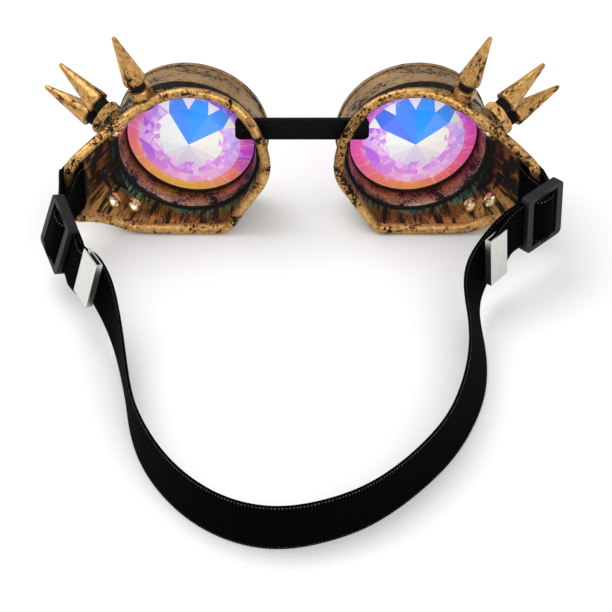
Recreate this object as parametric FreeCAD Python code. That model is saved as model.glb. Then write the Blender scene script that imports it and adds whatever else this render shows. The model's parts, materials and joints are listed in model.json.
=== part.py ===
"""Steampunk goggles: two moulded eyecups with faceted lenses, joined by a nose strip and a head strap.

All sizes are millimetres. Z is up from the table, Y points forward through the lenses and X runs
to the wearer's right. The left eye is modelled about its own lens centre and the right one mirrors it.
"""
import FreeCAD
import Part
import math
import os

V = FreeCAD.Vector
ORIGIN = V(0, 0, 0)
AXIS_X = V(1, 0, 0)
AXIS_Y = V(0, 1, 0)
AXIS_Z = V(0, 0, 1)

# Where the eyes sit
lens_half_spacing = 40.4
toe_angle = 8.0

# Gaps that every fit shares
cut_overrun = 1.0
seat_gap = 0.03
thread_clearance = 0.08
hole_clearance = 0.05

# Faceted lens
lens_radius = 25.6
lens_rim_thickness = 3.1
lens_rim_width = 2.4
lens_dome_height = 5.2
lens_facet_count = 12
lens_inner_radius_share = 0.62
lens_inner_height_share = 0.70
lens_outer_radius_share = 0.80
lens_outer_height_share = 0.42

# Rubber gasket behind the lens
gasket_thickness = 1.5
gasket_width = 2.2

# Barrel that carries the lens
barrel_margin = 0.4
barrel_wall = 2.2
barrel_lip = 0.8
thread_length = 3.9
flange_thickness = 2.3

# Screwed front ring
ring_wall = 1.42
ring_lip_width = 3.0
ring_lip_thickness = 3.4
ring_bead_height = 0.4
ring_bead_width = 1.6
ring_flare = 2.0
ring_back_gap = 0.5

# Eyecup wall and its rolled rim
cup_wall = 2.0
flange_width = 2.2
rim_bead_radius = 1.9
rim_tuck = 0.9
rim_depth = 16.4
rim_tilt = 0.17
rim_rise = 0.15
rim_line_step = 5.0
rim_chord_error = 0.08
rim_bead_sides = 8
wall_sample_share = 0.01

# Rim outline towards the temple
temple_reach = 42.5
temple_top = 8.0
temple_drop = 14.0
temple_corner = 4.5
temple_wrap_start = 14.0
temple_wrap_radius = 29.0

# Rim outline at the cheek and the nose
cheek_reach = 20.0
cheek_corner = 14.0
nose_foot = 13.0
nose_corner = 5.0
nose_height = 4.0
nose_bend = 18.0
nose_wrap_start = 10.0
nose_wrap_radius = 45.0

# Strap slot behind the temple bar
strap_slot_offset = 7.0
strap_slot_width = 3.4
strap_slot_height = 19.4

# Drop-shaped pockets in the wing, placed by shares along the rim and from barrel to rim
vent_length = 10.0
vent_width = 5.4
vent_floor = 0.7
vent_places_shares = ((0.600, 0.22), (0.556, 0.34), (0.500, 0.14))
vent_width_shares = (1.0, 0.7, 0.5)

# Nose strip and the slots that it passes through
bridge_length = 48.0
bridge_height = 8.4
bridge_thickness = 1.8
bridge_depth = 12.4
bridge_rise = 12.2
bridge_corner = 2.0
bridge_slot_width = 3.4
bridge_slot_height = 9.0

# Spike studs: cone, neck, hex seat and the screw that holds them
spike_cone_length = 20.0
spike_cone_radius = 4.2
spike_tip_radius = 0.9
spike_neck_length = 3.6
spike_neck_radius = 2.9
spike_collar_length = 0.8
hex_flat = 8.0
hex_length = 3.6
boss_radius = 4.3
boss_outer = 2.2
boss_inner = 2.0
screw_shank_radius = 1.45
screw_head_radius = 3.1
screw_head_height = 2.1
spike_bore_depth = 3.0
dome_steps = 3

# Three spikes per eye: shares along the rim and from barrel to rim, then turn and climb in degrees
spike_places_shares = ((0.295, 0.50), (0.364, 0.50), (0.412, 0.16))
spike_turns = (106.0, 49.0, 57.0)
spike_climbs = (70.0, 24.0, 14.0)

# Two plain rivets low on the wing
rivet_places_shares = ((0.660, 0.50), (0.612, 0.60))
rivet_head_radius = 3.0
rivet_head_height = 1.7
rivet_shank_radius = 1.4

# Cross recess in the inner heads
recess_length = 3.2
recess_width = 0.8
recess_depth = 0.9

# Head strap
strap_width = 18.0
strap_thickness = 1.4
strap_layer_gap = 0.2
strap_loop_gap = 0.35
strap_drop = 3.0
loop_spread = 64.0
loop_reach = 191.0
loop_arc_steps = 8
strap_exit = 3.0
band_steps = 3
tail_length = 18.5

# Back run of the strap: shares of spread, reach, entry height and lean of the top edge by strap width
band_shares = (
    (-1.147, 0.376, 0.70, 0.22),
    (-1.084, 0.402, 0.50, 0.22),
    (-1.031, 0.440, 0.26, 0.16),
    (-0.991, 0.490, 0.08, 0.09),
    (-0.956, 0.555, 0.00, 0.03),
    (-0.922, 0.634, 0.00, 0.00),
    (-0.883, 0.715, 0.00, 0.03),
    (-0.805, 0.798, 0.00, 0.06),
    (-0.681, 0.877, 0.00, 0.05),
    (-0.512, 0.944, 0.00, 0.03),
    (-0.312, 0.987, 0.00, 0.00),
    (-0.117, 1.000, 0.00, 0.00),
    (0.117, 0.983, 0.00, 0.00),
    (0.312, 0.949, 0.00, 0.02),
    (0.489, 0.896, 0.00, 0.05),
    (0.648, 0.830, 0.00, 0.10),
    (0.773, 0.761, 0.00, 0.16),
    (0.859, 0.688, 0.00, 0.24),
    (0.916, 0.613, 0.00, 0.31),
    (0.942, 0.539, 0.00, 0.34),
    (0.941, 0.471, 0.04, 0.35),
    (0.927, 0.411, 0.14, 0.33),
    (0.938, 0.360, 0.32, 0.27),
    (0.997, 0.320, 0.56, 0.18),
)

# Strap adjuster buckles
buckle_length = 19.0
buckle_height = 23.0
buckle_bar_width = 3.0
buckle_bar_thickness = 1.8
buckle_window_clearance = 0.5
buckle_corner = 2.0
weave_height = 1.9
weave_steps = 12

# Buckle places beside the temple bar: outwards, back, drop, then heading, descent and lean in degrees
left_buckle_out = 2.5
left_buckle_back = 22.9
left_buckle_fall = 1.5
left_buckle_angles = (20.0, 11.0, 12.0)
right_buckle_out = 1.6
right_buckle_back = 13.6
right_buckle_fall = 0.0
right_buckle_angles = (43.0, 0.0, 0.0)

# Metal end clips
clip_length = 9.5
clip_width = 19.0
clip_thickness = 0.5

# Radii that follow the lens
lens_dome_radius = lens_radius - lens_rim_width
gasket_inner_radius = lens_radius - gasket_width
barrel_radius = lens_radius + barrel_margin
barrel_bore_radius = barrel_radius - barrel_wall
barrel_mouth_radius = barrel_radius - barrel_lip
ring_bore_radius = barrel_radius + thread_clearance
ring_radius = ring_bore_radius + ring_wall
ring_bead_radius = ring_radius + ring_bead_height
ring_lip_radius = lens_radius - ring_lip_width
cup_front_radius = barrel_radius + flange_width
rim_radius = cup_front_radius - rim_tuck

# Heights and depths that follow from the sizes above
axis_height = cup_front_radius
rim_drop = axis_height - rim_bead_radius - rim_rise
barrel_front = -gasket_thickness - 2 * seat_gap
ring_back = barrel_front - thread_length
ring_front = lens_rim_thickness + seat_gap + ring_lip_thickness
flange_front = ring_back - ring_back_gap
flange_back = flange_front - flange_thickness
strap_height = axis_height - strap_drop


def turned(points):
    """Solid of revolution about the lens axis from (radius, depth) corners."""
    outline = [V(radius, depth, 0) for radius, depth in points]
    outline.append(outline[0])
    return Part.Face(Part.makePolygon(outline)).revolve(ORIGIN, AXIS_Y, 360)


def toed(shape):
    """Turn a shape made about the lens axis in towards the nose."""
    turned_in = shape.copy()
    turned_in.rotate(ORIGIN, AXIS_Z, -toe_angle)
    return turned_in


def toed_point(x, y, z):
    """Face-frame place of a point given about the lens axis."""
    angle = math.radians(toe_angle)
    return V(x * math.cos(angle) + y * math.sin(angle), y * math.cos(angle) - x * math.sin(angle), z)


def at_left_eye(shape):
    """Move a shape from the lens centre to the left eye."""
    moved = shape.copy()
    moved.translate(V(-lens_half_spacing, 0, axis_height))
    return moved


def at_right_eye(shape):
    """Mirror a left-eye shape to the right eye."""
    return at_left_eye(shape).mirror(ORIGIN, AXIS_X)


def bounded_solid(faces):
    """Close a set of faces into one outward-facing solid."""
    shell = Part.makeShell(faces)
    shell.sewShape()
    solid = Part.makeSolid(shell)
    if solid.Volume < 0:
        shell.reverse()
        solid = Part.makeSolid(shell)
    return solid


def loop_steps(loop_a, loop_b):
    """Curve parameters shared by every loop, from the mean spacing of two of them."""
    steps = [0]
    count = len(loop_a)
    for i in range(count):
        j = (i + 1) % count
        spacing = (loop_a[j] - loop_a[i]).Length + (loop_b[j] - loop_b[i]).Length
        steps.append(steps[-1] + spacing / 2)
    return steps


def loop_edges(points):
    """Closed run of short straight edges through points."""
    return [Part.LineSegment(a, b).toShape() for a, b in zip(points, points[1:] + points[:1])]


def ruled_faces(edges_a, edges_b):
    """Straight-ruled faces between two loops."""
    return [Part.makeRuledSurface(a, b) for a, b in zip(edges_a, edges_b)]


def corner_arc(before, corner, after, radius):
    """Start, middle and end of the arc that rounds one corner of an outline."""
    back = (before - corner).normalize()
    ahead = (after - corner).normalize()
    half = back.getAngle(ahead) / 2
    run = radius / math.tan(half)
    centre = corner + (back + ahead).normalize() * (radius / math.sin(half))
    middle = centre + (corner - centre).normalize() * radius
    return corner + back * run, middle, corner + ahead * run


def rim_outline():
    """Points of the rolled rim's centre line, seen along the lens axis, from the nose over the top."""
    temple = V(-temple_reach, 0, temple_top)
    reach = temple.Length
    tangent = math.atan2(temple_top, -temple_reach) - math.acos(rim_radius / reach)
    leave = V(rim_radius * math.cos(tangent), 0, rim_radius * math.sin(tangent))
    over = V(rim_radius * math.cos(tangent / 2), 0, rim_radius * math.sin(tangent / 2))
    start = V(rim_radius, 0, 0)
    corners = [
        (temple, temple_corner),
        (V(-temple_reach, 0, -temple_drop), temple_corner),
        (V(-cheek_reach, 0, -rim_drop), cheek_corner),
        (V(nose_foot, 0, -rim_drop), nose_corner),
        (V(rim_radius, 0, -nose_height), nose_bend),
    ]
    places = [leave] + [corner for corner, radius in corners] + [start]
    edges = [Part.Arc(start, over, leave).toShape()]
    last = leave
    for i, (corner, radius) in enumerate(corners):
        first, middle, end = corner_arc(places[i], corner, places[i + 2], radius)
        edges.append(Part.LineSegment(last, first).toShape())
        edges.append(Part.Arc(first, middle, end).toShape())
        last = end
    edges.append(Part.LineSegment(last, start).toShape())
    points = []
    for edge in edges:
        steps = edge.Length / rim_line_step
        if isinstance(edge.Curve, Part.Circle):
            radius = edge.Curve.Radius
            steps = edge.Length / radius / (2 * math.acos(1 - rim_chord_error / radius))
        count = math.ceil(steps)
        begin, finish = edge.ParameterRange
        points += [edge.valueAt(begin + (finish - begin) * i / count) for i in range(count)]
    return points


def rim_level(x, z):
    """Depth of the rim behind the lens: it leans back at the cheek and wraps round the temple."""
    fade = min(1, (x + temple_reach) / (temple_reach - temple_wrap_start))
    temple = max(0, -temple_wrap_start - x) ** 2 / (2 * temple_wrap_radius)
    nose = max(0, x - nose_wrap_start) ** 2 / (2 * nose_wrap_radius)
    return -rim_depth + rim_tilt * z * fade - temple - nose


def rim_points(offset):
    """The rim curve on the face, moved sideways by an offset across its wall."""
    flat = rim_outline()
    count = len(flat)
    points = []
    for i in range(count):
        along = (flat[(i + 1) % count] - flat[i - 1]).normalize()
        out = V(along.z, 0, -along.x)
        place = flat[i] + out * offset
        points.append(V(place.x, rim_level(flat[i].x, flat[i].z), place.z))
    return points


def rim_angles():
    """Angles round the lens axis of the rim points, counted up from the nose."""
    points = rim_outline()
    angles = [0]
    for before, after in zip(points, points[1:]):
        angles.append(angles[-1] + before.getAngle(after))
    return angles


def barrel_point(radius, depth, angle):
    """Point on the barrel at an angle round the lens axis."""
    return toed_point(radius * math.cos(angle), depth, radius * math.sin(angle))


def barrel_points(radius, depth):
    """Circle points on the barrel that pair with the rim points."""
    return [barrel_point(radius, depth, angle) for angle in rim_angles()]


def wall_ruling(rim_share):
    """Ends on the barrel and on the rim of the wall line at a share of the way round the rim."""
    flat = rim_outline()
    rim = rim_points(0)
    front = barrel_points(cup_front_radius - cup_wall / 2, (flange_front + flange_back) / 2)
    count = len(flat)
    lengths = loop_steps(flat, flat)
    goal = rim_share * lengths[-1]
    i = max(k for k in range(count) if lengths[k] <= goal)
    j = (i + 1) % count
    part = (goal - lengths[i]) / (lengths[i + 1] - lengths[i])
    return front[i] * (1 - part) + front[j] * part, rim[i] * (1 - part) + rim[j] * part


def wall_place(rim_share, depth_share):
    """Point, outward normal and backward direction on the middle of the eyecup wall."""
    front, rim = wall_ruling(rim_share)
    front_beside, rim_beside = wall_ruling(rim_share + wall_sample_share)
    here = front + (rim - front) * depth_share
    beside = front_beside + (rim_beside - front_beside) * depth_share
    normal = (rim - front).cross(beside - here).normalize()
    if normal.dot(V(here.x, 0, here.z)) < 0:
        normal = normal * -1
    return here, normal, (rim - front).normalize()


def spike_frame(index):
    """Seat point on the wall and pointing direction of one spike."""
    seat = wall_place(*spike_places_shares[index])[0]
    turn = math.radians(spike_turns[index])
    climb = math.radians(spike_climbs[index])
    out = -math.sin(turn) * math.cos(climb)
    ahead = math.cos(turn) * math.cos(climb)
    return seat, V(out, ahead, math.sin(climb))


def placed(shape, seat, direction):
    """Stand a shape made along +Z on a seat, pointing in a direction."""
    stood = shape.copy()
    stood.Placement = FreeCAD.Placement(seat, FreeCAD.Rotation(AXIS_Z, direction)).multiply(stood.Placement)
    return stood


def lathe_up(points):
    """Solid of revolution about +Z from (radius, height) corners."""
    outline = [V(radius, 0, height) for radius, height in points]
    outline.append(outline[0])
    return Part.Face(Part.makePolygon(outline)).revolve(ORIGIN, AXIS_Z, 360)


def dome_profile(radius, height, level):
    """Corners of a domed head from its edge to its top; a negative height domes downwards."""
    quarter = math.pi / 2
    return [(radius * math.cos(quarter * i / dome_steps), level + height * math.sin(quarter * i / dome_steps))
            for i in range(dome_steps + 1)]


def temple_bar():
    """Centre of the temple bar in the face frame, at the strap's height."""
    return V(-temple_reach, rim_level(-temple_reach, 0), -strap_drop)


def temple_wall_direction():
    """Level direction from the temple bar along the wing towards the barrel."""
    front = toed_point(-cup_front_radius, flange_front, 0)
    along = front - temple_bar()
    return V(along.x, along.y, 0).normalize()


def strap_slot():
    """Cutter for the upright slot that the head strap passes through."""
    along = temple_wall_direction()
    across = along.cross(AXIS_Z)
    depth = 4 * rim_bead_radius
    box = Part.makeBox(strap_slot_width, depth, strap_slot_height,
                       V(-strap_slot_width / 2, -depth / 2, -strap_slot_height / 2))
    turn = FreeCAD.Rotation(along, across * -1, AXIS_Z)
    box.Placement = FreeCAD.Placement(temple_bar() + along * strap_slot_offset, turn).multiply(box.Placement)
    return box


def bridge_slot():
    """Cutter for the slot that the nose strip passes through."""
    reach = cup_front_radius - nose_foot + cut_overrun
    return Part.makeBox(reach, bridge_slot_width, bridge_slot_height,
                        V(nose_foot, -bridge_depth - bridge_slot_width / 2,
                          bridge_rise - bridge_slot_height / 2))


def vent(index):
    """Drop-shaped cutter that pockets the inside of the wing, with its point down."""
    here, normal, back = wall_place(*vent_places_shares[index])
    along = normal.cross(back).normalize()
    down = along if along.z < 0 else along * -1
    across = down.cross(normal)
    radius = vent_width * vent_width_shares[index] / 2
    round_end = here - down * (vent_length / 2 - radius)
    point = here + down * (vent_length / 2)
    turn = math.acos(radius / (point - round_end).Length)
    sides = [round_end + (down * math.cos(turn) + across * (math.sin(turn) * side)) * radius for side in (1, -1)]
    edges = [
        Part.makeLine(point, sides[0]),
        Part.Arc(sides[0], round_end - down * radius, sides[1]).toShape(),
        Part.makeLine(sides[1], point),
    ]
    drop = Part.Face(Part.Wire(edges))
    drop.translate(normal * -cup_wall)
    return drop.extrude(normal * (cup_wall * 3 / 2 - vent_floor))


def rolled_rim():
    """Loops round the bead that finishes the eyecup's edge, from the outer wall over to the inner wall."""
    middle = rim_points(0)
    outside = rim_points(cup_wall / 2)
    front = barrel_points(cup_front_radius - cup_wall / 2, (flange_front + flange_back) / 2)
    count = len(middle)
    opening = math.asin(cup_wall / 2 / rim_bead_radius)
    loops = []
    for step in range(rim_bead_sides + 1):
        angle = opening + (2 * math.pi - 2 * opening) * step / rim_bead_sides
        loop = []
        for i in range(count):
            along = (middle[(i + 1) % count] - middle[i - 1]).normalize()
            out = along.cross(front[i] - middle[i]).normalize()
            if out.dot(outside[i] - middle[i]) < 0:
                out = out * -1
            ahead = out.cross(along).normalize()
            if ahead.dot(front[i] - middle[i]) < 0:
                ahead = ahead * -1
            loop.append(middle[i] + (ahead * math.cos(angle) + out * math.sin(angle)) * rim_bead_radius)
        loops.append(loop)
    return loops


def cup_skin():
    """Barrel, flange, flaring wall and rolled rim as one closed skin."""
    loops = rolled_rim() + [
        barrel_points(cup_front_radius - cup_wall, flange_back),
        barrel_points(barrel_mouth_radius, flange_back),
        barrel_points(barrel_bore_radius, barrel_front),
        barrel_points(barrel_radius, barrel_front),
        barrel_points(barrel_radius, flange_front),
        barrel_points(cup_front_radius, flange_front),
    ]
    skin = [loop_edges(loop) for loop in loops]
    faces = []
    for i in range(len(skin)):
        faces += ruled_faces(skin[i - 1], skin[i])
    return bounded_solid(faces)


def spike_cutters(index):
    """Screw hole of one spike with flat seats for the screw head and the hex."""
    length = boss_outer + boss_inner + 2 * cut_overrun
    hole = Part.makeCylinder(screw_shank_radius + hole_clearance, length, V(0, 0, -boss_inner - cut_overrun))
    below = 2 * screw_head_height
    head_seat = Part.makeCylinder(screw_head_radius + seat_gap, below, V(0, 0, -boss_inner - below))
    hex_radius = hex_flat / math.sqrt(3) + seat_gap
    hex_seat_room = Part.makeCylinder(hex_radius, hex_length, V(0, 0, boss_outer))
    return [placed(cutter, *spike_frame(index)) for cutter in (hole, head_seat, hex_seat_room)]


def rivet_cutters(share):
    """Rivet hole through the wing with a flat seat on each side."""
    here, normal, back = wall_place(*share)
    half = cup_wall / 2 + hole_clearance
    hole = Part.makeCylinder(rivet_shank_radius + hole_clearance, 4 * half, V(0, 0, -2 * half))
    outside = Part.makeCylinder(rivet_head_radius + seat_gap, rivet_head_height, V(0, 0, half))
    inside = Part.makeCylinder(rivet_head_radius + seat_gap, rivet_head_height, V(0, 0, -half - rivet_head_height))
    return [placed(cutter, here, normal) for cutter in (hole, outside, inside)]


def eyecup():
    """Moulded eyecup: barrel, flaring wall, rolled rim, wing slots, vents and spike bosses."""
    cup = cup_skin()
    boss = Part.makeCylinder(boss_radius, boss_outer + boss_inner, V(0, 0, -boss_inner))
    cup = cup.fuse(spike_set(boss))
    for index in range(len(spike_turns)):
        cup = cup.cut(spike_cutters(index))
    for share in rivet_places_shares:
        cup = cup.cut(rivet_cutters(share))
    cutters = [strap_slot(), bridge_slot()] + [vent(i) for i in range(len(vent_width_shares))]
    return cup.cut(cutters).removeSplitter()


def lens_ring():
    """Screwed front ring with a lip over the lens, a flared mouth and a rolled front edge."""
    lip_back = lens_rim_thickness + seat_gap
    return toed(turned([
        (ring_bore_radius, ring_back),
        (ring_radius, ring_back),
        (ring_radius, ring_front - ring_bead_width),
        (ring_bead_radius, ring_front - ring_bead_width),
        (ring_bead_radius, ring_front),
        (ring_lip_radius + ring_flare, ring_front),
        (ring_lip_radius, lip_back + ring_lip_thickness / 3),
        (ring_lip_radius, lip_back),
        (ring_bore_radius, lip_back),
    ]))


def ring_of_points(count, radius, depth, shift):
    """Evenly spaced points round the lens axis."""
    step = 2 * math.pi / count
    return [V(radius * math.cos((i + shift) * step), depth, radius * math.sin((i + shift) * step))
            for i in range(count)]


def lens():
    """Kaleidoscope lens: a flat front and a faceted dome of three rings towards the eye."""
    count = lens_facet_count
    apex = V(0, -lens_dome_height, 0)
    inner = ring_of_points(count, lens_dome_radius * lens_inner_radius_share,
                           -lens_dome_height * lens_inner_height_share, 0)
    outer = ring_of_points(2 * count, lens_dome_radius * lens_outer_radius_share,
                           -lens_dome_height * lens_outer_height_share, 0.5)
    base = ring_of_points(2 * count, lens_dome_radius, 0, 0.5)
    faces = []
    for i in range(count):
        j = (i + 1) % count
        near = outer[2 * i]
        far = outer[2 * i + 1]
        before = outer[2 * i - 1]
        faces.append((apex, inner[i], inner[j]))
        faces.append((inner[i], before, near))
        faces.append((inner[i], near, inner[j]))
        faces.append((inner[j], near, far))
        faces.append((outer[2 * i], base[2 * i], base[2 * i + 1], outer[2 * i + 1]))
        faces.append((outer[2 * i - 1], base[2 * i - 1], base[2 * i], outer[2 * i]))
    shells = [Part.Face(Part.makePolygon(list(corners) + [corners[0]])) for corners in faces]
    shells.append(Part.Face(Part.makePolygon(base + [base[0]])))
    dome = bounded_solid(shells)
    disc = Part.makeCylinder(lens_radius, lens_rim_thickness, ORIGIN, AXIS_Y)
    return toed(disc.fuse(dome))


def lens_gasket():
    """Flat rubber ring between the barrel and the lens."""
    return toed(turned([
        (gasket_inner_radius, -seat_gap),
        (lens_radius, -seat_gap),
        (lens_radius, -seat_gap - gasket_thickness),
        (gasket_inner_radius, -seat_gap - gasket_thickness),
    ]))


def spike_stud():
    """Cone with a rounded tip, a collar and a bored neck, standing on the hex seat."""
    neck_base = boss_outer + hex_length + seat_gap
    cone_base = neck_base + spike_neck_length
    tip = cone_base + spike_collar_length + spike_cone_length
    body = lathe_up([
        (0, neck_base),
        (spike_neck_radius, neck_base),
        (spike_neck_radius, cone_base),
        (spike_cone_radius, cone_base),
        (spike_cone_radius, cone_base + spike_collar_length),
    ] + dome_profile(spike_tip_radius, spike_tip_radius, tip - spike_tip_radius))
    bore = Part.makeCylinder(screw_shank_radius + hole_clearance, spike_bore_depth, V(0, 0, neck_base))
    return body.cut(bore)


def hex_seat():
    """Hexagonal seat under a spike, with its top corners turned off."""
    corner = hex_flat / math.sqrt(3)
    points = [V(corner * math.cos(math.radians(60 * i)), corner * math.sin(math.radians(60 * i)),
                boss_outer + seat_gap) for i in range(7)]
    nut = Part.Face(Part.makePolygon(points)).extrude(V(0, 0, hex_length - seat_gap))
    turned_off = lathe_up([
        (0, boss_outer),
        (corner, boss_outer),
        (corner, boss_outer + hex_length * 3 / 4),
        (hex_flat / 2, boss_outer + hex_length),
        (0, boss_outer + hex_length),
    ])
    hole = Part.makeCylinder(screw_shank_radius + hole_clearance, hex_length + 2 * cut_overrun,
                             V(0, 0, boss_outer - cut_overrun))
    return nut.common(turned_off).cut(hole)


def cross_recess(top):
    """Cutter for a cross recess in a head whose top faces down at a level."""
    bar = Part.makeBox(recess_length, recess_width, 2 * recess_depth,
                       V(-recess_length / 2, -recess_width / 2, top - recess_depth))
    turned_bar = bar.copy()
    turned_bar.rotate(ORIGIN, AXIS_Z, 90)
    return [bar, turned_bar]


def spike_screw():
    """Cross-head screw from inside the cup into the spike's neck."""
    level = -boss_inner - seat_gap
    point = boss_outer + hex_length + spike_bore_depth - hole_clearance
    head = dome_profile(screw_head_radius, -screw_head_height, level)
    screw = lathe_up(head[::-1] + [(screw_shank_radius, level), (screw_shank_radius, point), (0, point)])
    return screw.cut(cross_recess(level - screw_head_height))


def wing_rivet():
    """Rivet through the wing with a domed head on each side."""
    half = cup_wall / 2 + hole_clearance + seat_gap
    inside = dome_profile(rivet_head_radius, -rivet_head_height, -half)
    outside = dome_profile(rivet_head_radius, rivet_head_height, half)
    rivet = lathe_up(inside[::-1] + [(rivet_shank_radius, -half), (rivet_shank_radius, half)] + outside)
    return rivet.cut(cross_recess(-half - rivet_head_height))


def spike_set(piece):
    """One piece at each spike of the left eye."""
    return [placed(piece, *spike_frame(index)) for index in range(len(spike_turns))]


def wing_rivets():
    """The rivets of the left wing."""
    rivet = wing_rivet()
    return Part.Compound([placed(rivet, *wall_place(*share)[:2]) for share in rivet_places_shares])


def nose_bridge():
    """Flat nose strip with rounded ends, standing on edge through both nose slots."""
    half = bridge_length / 2
    low = axis_height + bridge_rise - bridge_height / 2
    strip = Part.makeBox(bridge_length, bridge_thickness, bridge_height,
                         V(-half, -bridge_depth - bridge_thickness / 2, low))
    ends = [edge for edge in strip.Edges if abs(edge.Vertexes[0].Y - edge.Vertexes[-1].Y) > seat_gap]
    return strip.makeFillet(bridge_corner, ends)


def ribbon(stations):
    """Flat strap solid through stations of centre and width direction."""
    rows = []
    runs = [(after[0] - before[0]).normalize() for before, after in zip(stations, stations[1:])]
    for i, (centre, upright) in enumerate(stations):
        ahead = runs[max(i - 1, 0)] + runs[min(i, len(runs) - 1)]
        out = ahead.cross(upright).normalize() * (strap_thickness / 2)
        rise = upright * (strap_width / 2)
        rows.append([centre + out + rise, centre + out - rise, centre - out - rise, centre - out + rise])
    faces = [Part.Face(Part.makePolygon(row + row[:1])) for row in (rows[0], rows[-1])]
    for row, after in zip(rows, rows[1:]):
        for i in range(len(row)):
            edges = [Part.makeLine(corners[i - 1], corners[i]) for corners in (row, after)]
            faces.append(Part.makeRuledSurface(*edges))
    return bounded_solid(faces)


def left_eye_place():
    """Centre of the left lens above the table."""
    return V(-lens_half_spacing, 0, axis_height)


def buckle_frame(out, back, fall, angles):
    """Centre, run, inward and upright directions of a buckle, on the left-hand side."""
    heading, descent, lean = [math.radians(angle) for angle in angles]
    run = V(math.sin(heading) * math.cos(descent), -math.cos(heading) * math.cos(descent),
            -math.sin(descent))
    level = AXIS_Z.cross(run).normalize()
    upright = run.cross(level) * math.cos(lean) + level * math.sin(lean)
    inward = upright.cross(run)
    bar = temple_bar() + left_eye_place()
    return bar + V(-out, -back, -fall), run, inward, upright


def weave(along):
    """How far the doubled strap lies inwards: inside the end bars and outside the middle one."""
    start = buckle_bar_width / 2
    end = buckle_length / 2 - buckle_bar_width
    part = min(1, max(0, (abs(along) - start) / (end - start)))
    return -weave_height * math.cos(math.pi * part)


def layer_station(frame, along, side):
    """Station of one strap layer in the buckle, on the inner or the outer side of the pair."""
    centre, run, inward, upright = frame
    small = strap_thickness / 10
    slope = (weave(along + small) - weave(along - small)) / (2 * small)
    normal = (inward - run * slope).normalize()
    middle = centre + run * along + inward * weave(along)
    return middle + normal * (side * (strap_thickness + strap_layer_gap) / 2), upright


def buckle_runs(start):
    """Distances along the buckle, from a start to its near end, at which the strap layers have stations."""
    end = buckle_length / 2
    return [start + (end - start) * i / weave_steps for i in range(weave_steps + 1)]


def exit_stations(frame):
    """Where the single strap leaves the buckle for the back of the head."""
    return [layer_station(frame, buckle_length / 2 + strap_exit * i, 1) for i in (1, 2)]


def mirrored_station(station):
    """The same station on the other side of the nose."""
    return tuple(V(-place.x, place.y, place.z) for place in station)


def smooth_stations(stations, steps):
    """Finer stations on smooth curves through the strap's middle and its top edge."""
    middle = Part.BSplineCurve()
    top = Part.BSplineCurve()
    middles = [centre for centre, upright in stations]
    tops = [centre + upright * strap_width for centre, upright in stations]
    places = loop_steps(middles, middles)[:-1]
    middle.interpolate(Points=middles, Parameters=places)
    top.interpolate(Points=tops, Parameters=places)
    fine = []
    for i in range(len(places) - 1):
        for step in range(steps):
            place = places[i] + (places[i + 1] - places[i]) * step / steps
            fine.append((middle.value(place), (top.value(place) - middle.value(place)).normalize()))
    return fine + stations[-1:]


def band_stations(left_frame, right_frame):
    """The back run of the strap, from the left buckle round to the right one."""
    stations = exit_stations(left_frame)
    for across, back, lift, lean in band_shares:
        upright = V(-math.copysign(lean, across), 0, math.sqrt(1 - lean ** 2))
        level = upright.z * strap_width / 2 + lean * strap_thickness / 2
        level += lift * (strap_height - strap_width / 2)
        stations.append((V(across * loop_spread, -back * loop_reach, level), upright))
    stations += [mirrored_station(station) for station in exit_stations(right_frame)[::-1]]
    return smooth_stations(stations, band_steps)


def tail_stations(band):
    """The free strap end, which lies outside the band behind the buckle and lifts off at its clip."""
    stations = []
    run = 0
    for i in range(1, len(band)):
        run += (band[i][0] - band[i - 1][0]).Length
        if run > tail_length - clip_length:
            break
        ahead = band[i + 1][0] - band[i - 1][0]
        outward = ahead.cross(band[i][1]).normalize()
        lift = strap_thickness + strap_layer_gap + 3 * clip_thickness * run / (tail_length - clip_length)
        stations.append((band[i][0] + outward * lift, band[i][1]))
    end, upright = stations[-1]
    ahead = (end - stations[-2][0]).normalize()
    stations.append((end + ahead * clip_length, upright))
    return stations


def bar_wrap(bar, back, side, reach, start):
    """Angle past the bar's side at which a strap from a start place first touches its loop round the bar."""
    behind = (start - bar).dot(back)
    beside = (start - bar).dot(side)
    distance = math.hypot(behind, beside)
    return max(0, math.atan2(behind, beside) - math.acos(reach / distance))


def strap_end(frame, band):
    """Strap end on the left-hand side: tail, buckle, round the temple bar and through the buckle again."""
    far_bar = buckle_bar_width - buckle_length / 2
    far_window = (far_bar - buckle_bar_width / 2) / 2
    outer = [layer_station(frame, run, -1) for run in buckle_runs(far_bar)[::-1]]
    inner = [layer_station(frame, run, 1) for run in buckle_runs(far_window)]
    inner.append(layer_station(frame, buckle_length / 2 + strap_exit - strap_layer_gap, 1))
    along = temple_wall_direction()
    out = AXIS_Z.cross(along)
    bar = temple_bar() + left_eye_place()
    reach = rim_bead_radius + strap_loop_gap + strap_thickness / 2
    first = bar_wrap(bar, along * -1, out, reach, outer[-1][0])
    last = bar_wrap(bar, along * -1, out * -1, reach, inner[0][0])
    bend = bar + along * (strap_slot_offset - reach)
    loop = []
    for centre, start, end in ((bar, -first, 0), (bend, 0, math.pi), (bar, math.pi, math.pi + last)):
        steps = math.ceil(loop_arc_steps * (end - start) / math.pi)
        for i in range(steps + 1):
            angle = start + (end - start) * i / max(1, steps)
            loop.append((centre + out * (reach * math.cos(angle)) + along * (reach * math.sin(angle)), AXIS_Z))
    return tail_stations(band)[::-1] + outer + loop + inner


def in_frame(shape, place, run, inward, upright):
    """Set a shape made along X, Y and Z on a place with its own run, inward and upright directions."""
    turned_to = shape.copy()
    turn = FreeCAD.Rotation(run, inward, upright)
    turned_to.Placement = FreeCAD.Placement(place, turn).multiply(turned_to.Placement)
    return turned_to


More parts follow.
